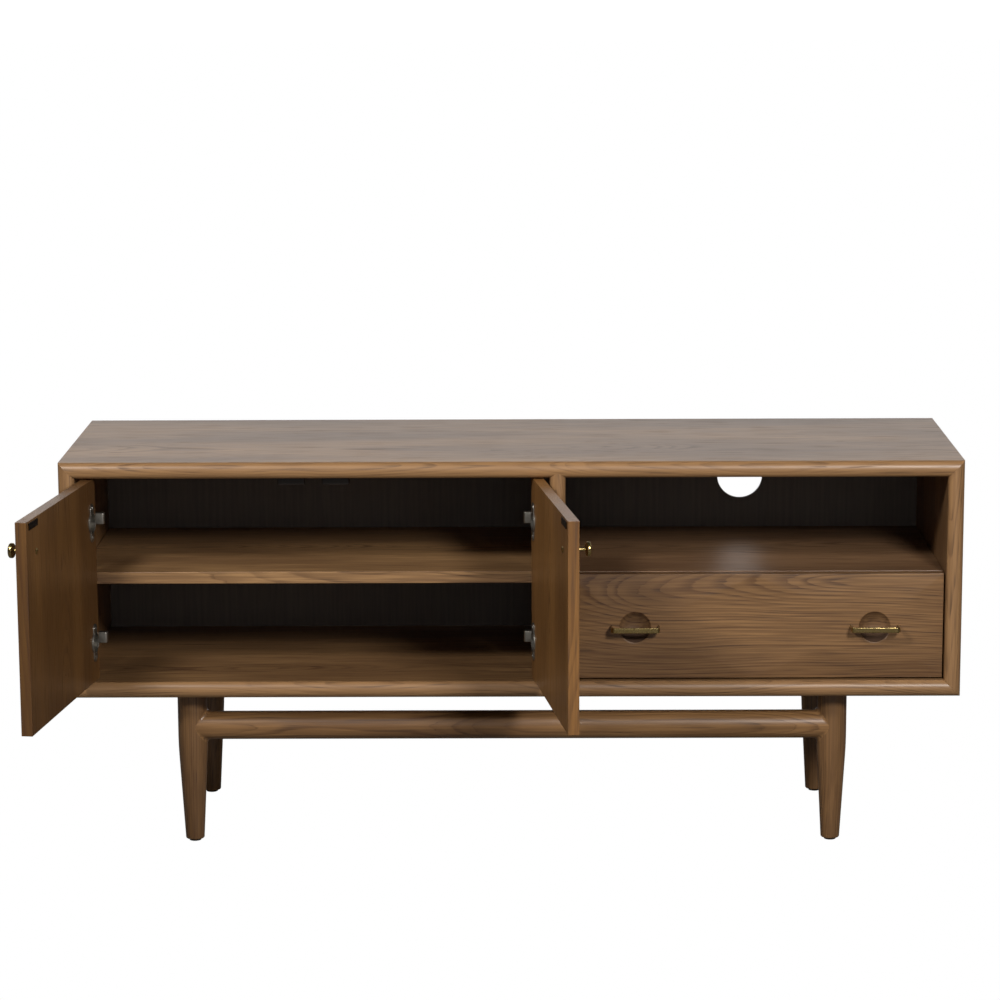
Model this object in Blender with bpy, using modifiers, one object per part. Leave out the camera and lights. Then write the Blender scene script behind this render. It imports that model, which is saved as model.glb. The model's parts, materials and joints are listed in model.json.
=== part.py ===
"""TV stand with two doors, an open bay and one drawer, on a turned-leg base.

Lengths are metres, +Z is up, and the front of the stand faces -Y. Every part is placed in the
case's own frame (X = 0 in the middle of the case, Y = 0 halfway back, Z = 0 on the floor) under
one root empty, and the root is moved at the end so that the origin lies under the middle of the
whole footprint, open doors included. The doors stand open on their hinges and the drawer is shut.
"""
import bpy
import bmesh
from math import cos, pi, radians, sin

# ---------------------------------------------------------------- driving dimensions
WIDTH = 1.500             # over the side panels
DEPTH = 0.445             # front of the rounded edges to the back edges
HEIGHT = 0.665            # floor to the top face
LEG_HEIGHT = 0.265        # floor to the underside of the case
PANEL = 0.027             # thickness of top, bottom and side panels
ROUND = 0.011             # how far the rounded front edges stand out
DIVIDER = 0.026           # thickness of the upright between doors and drawer
DIVIDER_X = 0.0772        # middle of the divider
DIVIDER_BACK = 0.001      # the divider's rounded edge sits this far behind the others
GAP = 0.0003              # clearance between pieces that touch

FACE_BACK = 0.019         # closed doors and drawer front lie this far behind the front
DOOR_THICK = 0.018
DOOR_GAP = 0.0025         # reveal round each door and round the drawer front
DOOR_MEET = 0.003         # gap where the closed doors meet
DOOR_OPEN = 98.2          # degrees from shut to the hinges' stop
PIVOT_IN = 0.0138         # hinge axis from the panel that carries it
PIVOT_BACK = 0.0029       # hinge axis behind the closed door's front face

SHELF_TOP = 0.473         # top face of both shelves above the floor
SHELF_THICK = 0.020
SHELF_BACK = 0.0425       # front edge of the left shelf behind the front
BACK_THICK = 0.006
BACK_INSET = 0.012        # back panel's rear face in front of the case's back edges
CABLE_RADIUS = 0.040
CABLE_Z = 0.565

HINGE_Z = (0.3605, 0.564)
CUP_RADIUS = 0.0175
CUP_DEEP = 0.0115
CUP_EDGE = 0.024          # middle of the cup from the door's hinge edge
FLANGE = (0.019, 0.065, 0.0025)
ARM_REACH = 0.0435        # how far the hinge arm stands out from its panel
ARM_HIGH = 0.019

KNOB_EDGE = 0.051         # knob from the door's free edge
KNOB_Z = 0.5805
KNOB_STEM = 0.018
KNOB_RADIUS = 0.012
KNOB_THICK = 0.008

CATCH = (0.046, 0.014, 0.0165)
CATCH_OUT = 0.037         # middle of each catch from where the doors meet
STRIKE = (0.046, 0.0012, 0.011)

FRONT_THICK = 0.020       # drawer front
SIDE_THICK = 0.012
DRAWER_LONG = 0.360       # drawer box behind its front
DRAWER_HIGH = 0.125
BOTTOM_THICK = 0.006
RUNNER_GAP = 0.0127       # space for the runners each side of the drawer box
RUNNER_LONG = 0.330
PULL_SPACING = 0.400
PULL_Z = 0.381
SCOOP_RADIUS = 0.0265
SCOOP_DEEP = 0.013
STRAP = (0.082, 0.0030, 0.009)
STRAP_OUT = 0.025         # outer face of the strap in front of the drawer front

LEG_X = 0.542
LEG_Y = 0.152
LEG_RADIUS = 0.025
FOOT_RADIUS = 0.0157
TAPER_TOP = 0.168
GLIDE_HIGH = 0.003
RAIL_Z = 0.2017
RAIL_RADIUS = 0.024

# ---------------------------------------------------------------- derived places
FRONT_Y = -DEPTH / 2
BACK_Y = DEPTH / 2
FACE_Y = FRONT_Y + FACE_BACK
INNER_X = WIDTH / 2 - PANEL
FLOOR_Z = LEG_HEIGHT + PANEL
CEILING_Z = HEIGHT - PANEL
DIV_LEFT = DIVIDER_X - DIVIDER / 2
DIV_RIGHT = DIVIDER_X + DIVIDER / 2
PANEL_BACK_Y = BACK_Y - BACK_INSET - BACK_THICK
MEET_X = (DIV_LEFT - INNER_X) / 2
DOOR_WIDTH = (DIV_LEFT + INNER_X - DOOR_MEET) / 2 - DOOR_GAP
DOOR_BOTTOM = FLOOR_Z + DOOR_GAP
DOOR_TOP = CEILING_Z - DOOR_GAP
BAY_X = (DIV_RIGHT + INNER_X) / 2
BAY_WIDTH = INNER_X - DIV_RIGHT


# ---------------------------------------------------------------- scene and helpers
def clear_scene():
    for old in list(bpy.data.objects):
        bpy.data.objects.remove(old, do_unlink=True)


def new_collection(name):
    collection = bpy.data.collections.new(name)
    bpy.context.scene.collection.children.link(collection)
    return collection


def material(name, colour, roughness, metallic=0.0):
    made = bpy.data.materials.new(name)
    made.use_nodes = True
    shader = made.node_tree.nodes["Principled BSDF"]
    shader.inputs["Base Color"].default_value = (*colour, 1.0)
    shader.inputs["Roughness"].default_value = roughness
    shader.inputs["Metallic"].default_value = metallic
    made.diffuse_color = (*colour, 1.0)
    return made


def empty(name, parent=None, place=(0, 0, 0)):
    made = bpy.data.objects.new(name, None)
    made.empty_display_size = 0.05
    made.location = place
    made.parent = parent
    PARTS.objects.link(made)
    return made


def add(name, mesh, mat, parent, place=(0, 0, 0), turn=(0, 0, 0)):
    """Put a mesh or curve in the parts collection as one named object."""
    made = bpy.data.objects.new(name, mesh)
    made.location = place
    made.rotation_euler = [radians(angle) for angle in turn]
    made.parent = parent
    mesh.materials.append(mat)
    PARTS.objects.link(made)
    return made


def bevel(obj, width, segments=2):
    changer = obj.modifiers.new("rounded edges", "BEVEL")
    changer.width = width
    changer.segments = segments
    changer.limit_method = "ANGLE"
    changer.angle_limit = radians(40)


def cube_mesh(name, size):
    mesh = bpy.data.meshes.new(name)
    shape = bmesh.new()
    bmesh.ops.create_cube(shape, size=1.0)
    bmesh.ops.scale(shape, vec=size, verts=shape.verts)
    shape.to_mesh(mesh)
    shape.free()
    return mesh


def cylinder_mesh(name, radius, length, segments=48):
    mesh = bpy.data.meshes.new(name)
    shape = bmesh.new()
    bmesh.ops.create_cone(shape, cap_ends=True, segments=segments,
                          radius1=radius, radius2=radius, depth=length)
    shape.to_mesh(mesh)
    shape.free()
    return mesh


def block(name, size, place, mat, parent, edge=0.0008):
    """A rectangular board or plate with lightly broken edges."""
    obj = add(name, cube_mesh(name, size), mat, parent, place)
    if edge:
        bevel(obj, edge)
    return obj


def spin(obj, steps=40):
    """Turn the profile in obj about its own Z axis into a closed round body."""
    changer = obj.modifiers.new("turned", "SCREW")
    changer.steps = steps
    changer.render_steps = steps
    changer.use_merge_vertices = True
    changer.merge_threshold = 0.00005
    changer.use_smooth_shade = True


def profile_mesh(name, points):
    """An open profile in the XZ plane, joined point to point from top to bottom."""
    mesh = bpy.data.meshes.new(name)
    shape = bmesh.new()
    corners = [shape.verts.new((radius, 0, height)) for radius, height in points]
    for one, two in zip(corners, corners[1:]):
        shape.edges.new((one, two))
    shape.to_mesh(mesh)
    shape.free()
    return mesh


def outline_curve(name, points, thick):
    """A flat outline in the XY plane, thick along Z and centred on it."""
    curve = bpy.data.curves.new(name, "CURVE")
    curve.dimensions = "2D"
    curve.fill_mode = "BOTH"
    curve.extrude = thick / 2
    spline = curve.splines.new("POLY")
    spline.points.add(len(points) - 1)
    for spot, (x, y) in zip(spline.points, points):
        spot.co = (x, y, 0, 1)
    spline.use_cyclic_u = True
    return curve


def outline_mesh(name, points, thick):
    """The same solid as outline_curve, as a welded mesh that can be cut or joined."""
    maker = bpy.data.objects.new("maker", outline_curve(name, points, thick))
    bpy.context.scene.collection.objects.link(maker)
    seen = maker.evaluated_get(bpy.context.evaluated_depsgraph_get())
    mesh = bpy.data.meshes.new_from_object(seen)
    mesh.name = name
    bpy.data.objects.remove(maker, do_unlink=True)
    shape = bmesh.new()
    shape.from_mesh(mesh)
    bmesh.ops.remove_doubles(shape, verts=shape.verts, dist=0.00001)
    shape.to_mesh(mesh)
    shape.free()
    return mesh


def arc(centre, radius, start, end, steps):
    """Points on a circle from angle start to end, in degrees."""
    turns = [radians(start + (end - start) * k / steps) for k in range(steps + 1)]
    return [(centre[0] + radius * cos(t), centre[1] + radius * sin(t)) for t in turns]


def cutter(name, mesh, place, turn=(0, 0, 0), parent=None):
    made = bpy.data.objects.new(name, mesh)
    made.location = place
    made.rotation_euler = [radians(angle) for angle in turn]
    made.parent = parent
    made.hide_render = True
    made.display_type = "WIRE"
    CUTTERS.objects.link(made)
    return made


def combine(obj, other, operation):
    changer = obj.modifiers.new(operation.lower(), "BOOLEAN")
    changer.operation = operation
    changer.solver = "EXACT"
    changer.object = other


def smooth(mesh, angle=35):
    mesh.shade_smooth()
    mesh.set_sharp_from_angle(angle=radians(angle))


# ---------------------------------------------------------------- case
def rounded_board(thick, front, back, steps=12):
    """Cross-section of a board: square at the back, an elliptical nose at the front.

    X runs from front to back and Y through the thickness.
    """
    nose = front + ROUND
    points = []
    for k in range(steps + 1):
        turn = pi / 2 + pi * k / steps
        points.append((nose + ROUND * cos(turn), thick / 2 * sin(turn)))
    return points + [(back, -thick / 2), (back, thick / 2)]


def mitred_panel(name, length, place, turn, outward, mat, parent):
    """One panel of the case, its ends cut at 45 degrees towards the inside.

    outward is +1 or -1, the side of the local Y axis that faces out of the case.
    """
    mesh = outline_mesh(name, rounded_board(PANEL, FRONT_Y, BACK_Y), length)
    for corner in mesh.vertices:
        inset = PANEL / 2 - outward * corner.co.y + GAP / 2
        corner.co.z -= inset if corner.co.z > 0 else -inset
    smooth(mesh)
    return add(name, mesh, mat, parent, place, turn)


def build_panels(root):
    case_high = HEIGHT - LEG_HEIGHT
    side_z = LEG_HEIGHT + case_high / 2
    side_x = (WIDTH - PANEL) / 2
    lying = (90, 0, 90)
    mitred_panel("case_top", WIDTH, (0, 0, HEIGHT - PANEL / 2), lying, 1, OAK, root)
    mitred_panel("case_bottom", WIDTH, (0, 0, LEG_HEIGHT + PANEL / 2), lying, -1, OAK, root)
    mitred_panel("case_side_left", case_high, (-side_x, 0, side_z), (0, 0, 90), 1, OAK, root)
    mitred_panel("case_side_right", case_high, (side_x, 0, side_z), (0, 0, 90), -1, OAK, root)


def build_divider(root):
    """The upright, its rounded edge coped over the noses of the top and bottom panels."""
    front = FRONT_Y + DIVIDER_BACK
    back = PANEL_BACK_Y - GAP
    reach = CEILING_Z - FLOOR_Z + PANEL
    mesh = outline_mesh("divider", rounded_board(DIVIDER, front, back), reach)
    obj = add("divider", mesh, OAK, root, (DIVIDER_X, 0, (CEILING_Z + FLOOR_Z) / 2), (0, 0, 90))
    for place_z in (HEIGHT - PANEL / 2, LEG_HEIGHT + PANEL / 2):
        grown = outline_mesh("cope", rounded_board(PANEL + 2 * GAP, FRONT_Y - GAP, BACK_Y), 0.08)
        tool = cutter("cope", grown, (DIVIDER_X, 0, place_z), (90, 0, 90), root)
        combine(obj, tool, "DIFFERENCE")


def build_back(root):
    wide = 2 * (INNER_X - GAP)
    high = CEILING_Z - FLOOR_Z - 2 * GAP
    middle = (0, PANEL_BACK_Y + BACK_THICK / 2, (CEILING_Z + FLOOR_Z) / 2)
    obj = block("back_panel", (wide, BACK_THICK, high), middle, BACKING, root, edge=0)
    hole = cutter("cable_hole", cylinder_mesh("cable_hole", CABLE_RADIUS, 0.03, 64),
                  (BAY_X, middle[1], CABLE_Z), (90, 0, 0), root)
    combine(obj, hole, "DIFFERENCE")


def build_shelves(root):
    back = PANEL_BACK_Y - GAP
    left_front = FRONT_Y + SHELF_BACK
    right_front = FACE_Y + FRONT_THICK + 0.001
    z = SHELF_TOP - SHELF_THICK / 2
    left_wide = DIV_LEFT + INNER_X - 0.002
    block("shelf_left", (left_wide, back - left_front, SHELF_THICK),
          (MEET_X, (back + left_front) / 2, z), OAK, root, edge=0.001)
    block("shelf_right", (BAY_WIDTH - 2 * GAP, back - right_front, SHELF_THICK),
          (BAY_X, (back + right_front) / 2, z), OAK, root)
    build_shelf_pins(root, (-INNER_X, DIV_LEFT), (left_front + 0.05, back - 0.05))


def build_shelf_pins(root, walls, depths):
    """Small metal pegs that stand out of the walls and carry the left shelf."""
    long = 0.010
    high = 0.006
    for side, wall_x, way in (("left", walls[0], 1), ("right", walls[1], -1)):
        for where, y in zip(("front", "rear"), depths):
            mesh = cylinder_mesh("shelf_pin", high / 2, long, 20)
            smooth(mesh)
            place = (wall_x + way * (GAP + long / 2), y,
                     SHELF_TOP - SHELF_THICK - GAP - high / 2)
            add(f"shelf_pin_{side}_{where}", mesh, STEEL, root, place, (0, 90, 0))


def build_catches(root):
    """Magnetic catches under the top, one for each door."""
    y = FACE_Y + DOOR_THICK + 2 * GAP + STRIKE[1] + 0.0006 + CATCH[1] / 2
    z = CEILING_Z - GAP - CATCH[2] / 2
    for side, way in (("left", -1), ("right", 1)):
        block(f"catch_{side}", CATCH, (MEET_X + way * CATCH_OUT, y, z), CATCH_BROWN, root, 0.0015)


# ---------------------------------------------------------------- hinges and doors
def build_hinge_arm(name, wall_x, way, z, root):
    """Mounting plate and cranked arm, screwed to the upright that carries the door."""
    front = FRONT_Y + 0.0432
    crank = 0.013
    back = front + 0.066
    lift = 0.011
    points = [(GAP, front), (ARM_REACH - 0.004, front)]
    points += arc((ARM_REACH - 0.004, front + 0.004), 0.004, -60, 0, 3)
    points += [(ARM_REACH, front + crank), (lift + 0.006, front + crank)]
    points += arc((lift + 0.006, front + crank + 0.006), 0.006, -90, -180, 4)[1:]
    points += [(lift, back), (GAP, back)]
    mirrored = [(way * x, y) for x, y in points]
    arm = add(name, outline_mesh(name, mirrored, ARM_HIGH), STEEL, root, (wall_x, 0, z))
    plate_size = (0.004, 0.036, 0.046)
    plate_place = (wall_x + way * (GAP + plate_size[0] / 2), front + 0.042, z)
    plate = cutter("hinge_plate", cube_mesh("hinge_plate", plate_size), plate_place, parent=root)
    combine(arm, plate, "UNION")


def flange_outline():
    """Rounded plate round the cup, long way upright."""
    half_wide = FLANGE[0] / 2
    half_high = FLANGE[1] / 2
    corner = 0.004
    points = []
    for x, y, start in ((1, 1, 0), (-1, 1, 90), (-1, -1, 180), (1, -1, 270)):
        centre = (x * (half_wide - corner), y * (half_high - corner))
        points += arc(centre, corner, start, start + 90, 3)
    return points


def build_cup(name, x, z, door):
    """Hinge cup let into the door's inner face, with its flange on the face."""
    wall = 0.0012
    sink = DOOR_THICK - PIVOT_BACK
    cup = [(0, -CUP_DEEP), (CUP_RADIUS, -CUP_DEEP), (CUP_RADIUS, FLANGE[2]),
           (CUP_RADIUS - wall, FLANGE[2]), (CUP_RADIUS - wall, -CUP_DEEP + wall),
           (0, -CUP_DEEP + wall)]
    obj = add(name, profile_mesh(name, cup[::-1]), STEEL, door, (x, sink, z), (-90, 0, 0))
    spin(obj, 36)
    face = outline_mesh("flange", flange_outline(), FLANGE[2] - GAP)
    flange = cutter("flange", face, (x, sink + (FLANGE[2] + GAP) / 2, z), (-90, 0, 0), door)
    bore = cutter("cup_bore", cylinder_mesh("cup_bore", CUP_RADIUS - wall, 0.02, 36),
                  (x, sink + 0.004, z), (90, 0, 0), door)
    combine(flange, bore, "DIFFERENCE")
    combine(obj, flange, "UNION")


def knob_profile():
    """Thin stem and rounded disc; the far end of the knob is at the top."""
    tip = KNOB_STEM + KNOB_THICK
    round_in = 0.003
    stem = 0.003
    points = [(0, tip)]
    points += arc((KNOB_RADIUS - round_in, tip - round_in), round_in, 90, 0, 4)
    points += arc((KNOB_RADIUS - round_in, KNOB_STEM + round_in), round_in, 0, -90, 4)
    points += [(stem + 0.0015, KNOB_STEM), (stem, KNOB_STEM - 0.0015), (stem, 0.002)]
    return points + [(0.0055, 0.0012), (0.0055, GAP), (0, GAP)]


def build_door(side, wall_x, way, root):
    """One door on its hinge axis. way is +1 where the closed door reaches to +X."""
    pivot = (wall_x + way * PIVOT_IN, FACE_Y + PIVOT_BACK, 0)
    door = empty(f"hinge_axis_{side}", root, pivot)
    door.rotation_euler.z = radians(-way * DOOR_OPEN)
    edge_x = way * (DOOR_GAP - PIVOT_IN)
    free_x = edge_x + way * DOOR_WIDTH
    middle = ((edge_x + free_x) / 2, DOOR_THICK / 2 - PIVOT_BACK, (DOOR_BOTTOM + DOOR_TOP) / 2)
    slab = block(f"door_{side}", (DOOR_WIDTH, DOOR_THICK, DOOR_TOP - DOOR_BOTTOM),
                 middle, OAK, door, edge=0)
    cup_x = edge_x + way * CUP_EDGE
    inner_y = DOOR_THICK - PIVOT_BACK
    for level, z in zip(("lower", "upper"), HINGE_Z):
        pocket = cutter("cup_pocket", cylinder_mesh("cup_pocket", CUP_RADIUS + GAP, 0.024, 36),
                        (cup_x, inner_y - CUP_DEEP - GAP + 0.012, z), (90, 0, 0), door)
        combine(slab, pocket, "DIFFERENCE")
        build_cup(f"hinge_cup_{side}_{level}", cup_x, z, door)
        build_hinge_arm(f"hinge_arm_{side}_{level}", wall_x, way, z, root)
    bevel(slab, 0.0010, 2)
    knob_x = free_x - way * KNOB_EDGE
    knob = add(f"knob_{side}", profile_mesh("knob", knob_profile()), BRASS, door,
               (knob_x, -PIVOT_BACK, KNOB_Z), (90, 0, 0))
    spin(knob, 32)
    head = [(0, 0.0022), (0.0025, 0.0020), (0.0045, 0.0012), (0.0055, GAP), (0, GAP)]
    screw = add(f"knob_screw_{side}", profile_mesh("knob_screw", head), BRASS, door,
                (knob_x, inner_y, KNOB_Z), (-90, 0, 0))
    spin(screw, 24)
    strike_x = free_x - way * (CATCH_OUT - DOOR_MEET / 2)
    block(f"strike_{side}", STRIKE, (strike_x, inner_y + GAP + STRIKE[1] / 2, DOOR_TOP - 0.009),
          DARK_STEEL, door, edge=0)


# ---------------------------------------------------------------- drawer
def scoop_radius():
    """Radius of the ball whose cap is SCOOP_RADIUS wide and SCOOP_DEEP deep."""
    return (SCOOP_RADIUS ** 2 + SCOOP_DEEP ** 2) / (2 * SCOOP_DEEP)


def build_drawer_front(drawer):
    z_low = FLOOR_Z + DOOR_GAP
    size = (BAY_WIDTH - 2 * DOOR_GAP, FRONT_THICK, SHELF_TOP - 0.001 - z_low)
    front = block("drawer_front", size, (0, FACE_Y + FRONT_THICK / 2, z_low + size[2] / 2),
                  OAK, drawer, edge=0)
    ball = scoop_radius()
    for side, x in (("left", -PULL_SPACING / 2), ("right", PULL_SPACING / 2)):
        mesh = bpy.data.meshes.new("scoop")
        shape = bmesh.new()
        bmesh.ops.create_uvsphere(shape, u_segments=40, v_segments=28, radius=ball)
        shape.to_mesh(mesh)
        shape.free()
        tool = cutter("scoop", mesh, (x, FACE_Y - (ball - SCOOP_DEEP), PULL_Z), (90, 0, 0), drawer)
        combine(front, tool, "DIFFERENCE")
        build_pull(f"pull_{side}", x, drawer)
    bevel(front, 0.0008, 2)


def build_pull(name, x, drawer):
    """Flat strap bent back to the drawer front at both ends, seen from above."""
    half = STRAP[0] / 2
    thick = STRAP[1]
    bend = 0.006
    outer = [(-half, -GAP)]
    outer += arc((-half + bend, -STRAP_OUT + bend), bend, 180, 270, 5)
    outer += arc((half - bend, -STRAP_OUT + bend), bend, 270, 360, 5)
    outer += [(half, -GAP)]
    inner = [(half - thick, -GAP)]
    inner += arc((half - bend, -STRAP_OUT + bend), bend - thick, 360, 270, 4)
    inner += arc((-half + bend, -STRAP_OUT + bend), bend - thick, 270, 180, 4)
    inner += [(-half + thick, -GAP)]
    mesh = outline_mesh(name, outer + inner, STRAP[2])
    smooth(mesh)
    add(name, mesh, BRASS, drawer, (x, FACE_Y, PULL_Z))


def build_drawer_box(drawer):
    start = FACE_Y + FRONT_THICK + GAP
    side_x = BAY_WIDTH / 2 - RUNNER_GAP - SIDE_THICK / 2
    low = FLOOR_Z + 0.015
    middle_y = start + DRAWER_LONG / 2
    z = low + DRAWER_HIGH / 2
    for side, way in (("left", -1), ("right", 1)):
        block(f"drawer_side_{side}", (SIDE_THICK, DRAWER_LONG, DRAWER_HIGH),
              (way * side_x, middle_y, z), DRAWER_WOOD, drawer)
    inside = 2 * side_x - SIDE_THICK - 2 * GAP
    back_y = start + DRAWER_LONG - SIDE_THICK / 2
    block("drawer_back", (inside, SIDE_THICK, DRAWER_HIGH), (0, back_y, z), DRAWER_WOOD, drawer)
    bottom_long = DRAWER_LONG - SIDE_THICK - GAP
    block("drawer_bottom", (inside, bottom_long, BOTTOM_THICK),
          (0, start + bottom_long / 2, low + 0.012), DRAWER_WOOD, drawer, edge=0)


def build_runners(root, drawer):
    """Ball-bearing runners: one rail on the case and one on the drawer at each side."""
    case_thick = 0.0055
    box_thick = RUNNER_GAP - case_thick - 3 * GAP
    z = FLOOR_Z + 0.070
    y = FACE_Y + FRONT_THICK + 0.004 + RUNNER_LONG / 2
    for side, way in (("left", -1), ("right", 1)):
        wall = way * BAY_WIDTH / 2
        block(f"runner_case_{side}", (case_thick, RUNNER_LONG, 0.045),
              (BAY_X + wall - way * (GAP + case_thick / 2), y, z), STEEL, root)
        block(f"runner_drawer_{side}", (box_thick, RUNNER_LONG, 0.034),
              (wall - way * (2 * GAP + case_thick + box_thick / 2), y, z), STEEL, drawer)


def build_drawer(root):
    drawer = empty("drawer_slide", root, (BAY_X, 0, 0))
    build_drawer_front(drawer)
    build_drawer_box(drawer)
    build_runners(root, drawer)


# ---------------------------------------------------------------- base
def leg_profile():
    """Straight upper part, straight taper, softly rounded foot; top to bottom."""
    top = LEG_HEIGHT - GAP
    low = GLIDE_HIGH + GAP
    ease = 0.0025
    points = [(0, top), (LEG_RADIUS - 0.0005, top), (LEG_RADIUS, top - 0.0005)]
    points += [(LEG_RADIUS, TAPER_TOP + 0.006), (LEG_RADIUS - 0.0004, TAPER_TOP - 0.006)]
    points += [(FOOT_RADIUS + 0.0002, low + ease)]
    points += arc((FOOT_RADIUS - ease, low + ease), ease, 0, -90, 3)[1:]
    return points + [(0, low)]


def build_leg(where, x, y, root):
    leg = add(f"leg_{where}", profile_mesh("leg", leg_profile()), OAK, root, (x, y, 0))
    spin(leg, 40)
    glide = cylinder_mesh("glide", 0.010, GLIDE_HIGH, 24)
    add(f"glide_{where}", glide, NYLON, root, (x, y, GLIDE_HIGH / 2))


def build_rail(where, y, root):
    """Round rail between two legs, its ends coped to fit against them."""
    mesh = cylinder_mesh("rail", RAIL_RADIUS, 2 * LEG_X, 40)
    smooth(mesh)
    rail = add(f"rail_{where}", mesh, OAK, root, (0, y, RAIL_Z), (0, 90, 0))
    for x in (-LEG_X, LEG_X):
        tool = cutter("leg_cope", cylinder_mesh("leg_cope", LEG_RADIUS + GAP, 0.1, 40),
                      (x, y, RAIL_Z), (0, 0, 0), root)
        combine(rail, tool, "DIFFERENCE")


def build_base(root):
    for where, y in (("front", -LEG_Y), ("back", LEG_Y)):
        build_rail(where, y, root)
        for side, x in (("left", -LEG_X), ("right", LEG_X)):
            build_leg(f"{where}_{side}", x, y, root)


# ---------------------------------------------------------------- whole object
def centre_on_footprint(root):
    """Move the root so that the origin lies under the middle of all the parts."""
    bpy.context.view_layer.update()
    graph = bpy.context.evaluated_depsgraph_get()
    spots = []
    for obj in PARTS.objects:
        if obj.type == "EMPTY":
            continue
        seen = obj.evaluated_get(graph)
        mesh = seen.to_mesh()
        spots += [obj.matrix_world @ corner.co for corner in mesh.vertices]
        seen.to_mesh_clear()
    for axis in (0, 1):
        low = min(spot[axis] for spot in spots)
        high = max(spot[axis] for spot in spots)
        root.location[axis] = -(low + high) / 2


clear_scene()
PARTS = new_collection("tv_stand")
CUTTERS = new_collection("cutters")

OAK = material("walnut stained oak", (0.155, 0.090, 0.048), 0.42)
BACKING = material("dark stained board", (0.040, 0.026, 0.016), 0.55)
DRAWER_WOOD = material("lacquered birch", (0.50, 0.36, 0.22), 0.45)
BRASS = material("antique brass", (0.46, 0.32, 0.14), 0.32, 1.0)
STEEL = material("nickel-plated steel", (0.62, 0.62, 0.60), 0.30, 1.0)
DARK_STEEL = material("blackened steel", (0.045, 0.043, 0.040), 0.45, 1.0)
CATCH_BROWN = material("brown moulded plastic", (0.060, 0.035, 0.020), 0.50)
NYLON = material("black nylon", (0.020, 0.020, 0.020), 0.60)

stand = empty("tv_stand_origin")
build_panels(stand)
build_divider(stand)
build_back(stand)
build_shelves(stand)
build_catches(stand)
build_door("left", -INNER_X, 1, stand)
build_door("right", DIV_LEFT, -1, stand)
build_drawer(stand)
build_base(stand)
centre_on_footprint(stand)
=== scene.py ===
"""Looks of a TV stand in oak stained walnut brown: two doors, an open bay, a drawer, a turned base.

Lengths are metres and +Z is up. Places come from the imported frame; the sizes below are those of
details that the frame's boxes don't give. New pieces are sheets of points worked out from formulas.
"""
import json
from math import cos, pi, radians, sin

import bmesh
import bpy
import numpy as np
from mathutils import Matrix, Vector


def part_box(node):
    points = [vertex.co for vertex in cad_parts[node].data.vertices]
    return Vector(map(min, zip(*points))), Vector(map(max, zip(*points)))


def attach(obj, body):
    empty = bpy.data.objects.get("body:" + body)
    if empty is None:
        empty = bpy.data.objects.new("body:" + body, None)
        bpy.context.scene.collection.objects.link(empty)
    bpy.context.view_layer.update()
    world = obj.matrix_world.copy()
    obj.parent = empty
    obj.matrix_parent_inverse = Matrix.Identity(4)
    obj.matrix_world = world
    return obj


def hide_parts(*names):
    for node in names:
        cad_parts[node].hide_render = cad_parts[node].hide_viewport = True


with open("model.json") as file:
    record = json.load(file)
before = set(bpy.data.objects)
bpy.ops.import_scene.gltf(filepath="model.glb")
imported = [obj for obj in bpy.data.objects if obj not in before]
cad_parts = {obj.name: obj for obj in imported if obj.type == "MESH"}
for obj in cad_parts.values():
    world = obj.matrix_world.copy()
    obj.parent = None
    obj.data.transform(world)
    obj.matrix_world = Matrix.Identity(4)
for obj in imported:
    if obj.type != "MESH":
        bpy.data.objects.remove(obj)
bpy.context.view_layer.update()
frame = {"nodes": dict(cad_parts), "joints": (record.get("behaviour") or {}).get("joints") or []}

# ---------------------------------------------------------------- sizes of details
WELD = 2e-6               # points nearer than this are one point
CREASE = 35               # an edge that turns by more degrees than this stays sharp
GAP = 0.0003              # clearance between pieces that touch
NOSE = 0.011              # how far the rounded front edges of the boards stand out
NOSE_BEHIND = 0.001       # flat strip behind the rounding, before the long straight faces
SOLID_EDGE = 0.0008       # solid edge wood behind the rounding, where the veneer starts
EASE = 0.0006             # sanded corner at the back edges
DOOR_FACE_BACK = 0.0029   # a door's outer face in front of its hinge axis
FACE_EASE = 0.0008        # rounding round the drawer front
SCOOP_RADIUS = 0.0265
SCOOP_DEEP = 0.013
SCOOP_RIM = 0.0010        # softness of the scoop's rim
PULL_SPACING = 0.400      # between the middles of the two pulls
STRAP_THICK = 0.0030
STRAP_BEND = 0.0060       # outer radius of the strap's two bends
STRAP_EDGE = 0.0012       # rounding along the strap
JOINT_FILLET = 0.0070     # radius that blends the rails into the legs
FOOT_RADIUS = 0.0157
FOOT_EASE = 0.0025        # rounding under a leg
TAPER_TOP = 0.168         # height where a leg's taper starts
TAPER_SOFT = 0.020        # half the height over which the taper sets in
FLANGE_WIDE = 0.019
FLANGE_THICK = 0.0025
CUP_RADIUS = 0.0175       # half of the usual 35 mm bore
CUP_WALL = 0.0014
CUP_SCREW_OUT = 0.0245    # flange screws above and below the cup's middle
ARM_HIGH = 0.019
ARM_LONG = 0.066
ARM_CRANK = 0.013         # depth of the part of the arm that reaches out to the door
ARM_LIFT = 0.011          # height of the arm over the upright
PLATE_THICK = 0.004
PLATE_LONG = 0.036
PLATE_BACK = 0.042        # middle of the plate behind the arm's front
PLATE_SCREW_OUT = 0.0165  # plate screws above and below the arm
SLOT_LONG = 0.62          # a screw's cross recess, as shares of the head's radius
SLOT_HALF_WIDE = 0.13
CHANNEL_THICK = 0.0012
KNOB_STEM = 0.018         # back of the knob's disc in front of the door
KNOB_STEM_RADIUS = 0.0030
KNOB_COLLAR_RADIUS = 0.0055
KNOB_COLLAR_HIGH = 0.0012
KNOB_FLARE = 0.0015       # hollow curves where the stem meets disc and collar
KNOB_TIP = 0.0259         # front of the disc
KNOB_ROUND = 0.0030       # rounding round the disc

# ---------------------------------------------------------------- places taken from the frame


def span(node):
    """Lowest and highest corner of a CAD node as arrays."""
    low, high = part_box(node)
    return np.array(low), np.array(high)


def middle(node):
    """Middle of a CAD node's box."""
    low, high = span(node)
    return (low + high) / 2


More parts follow.
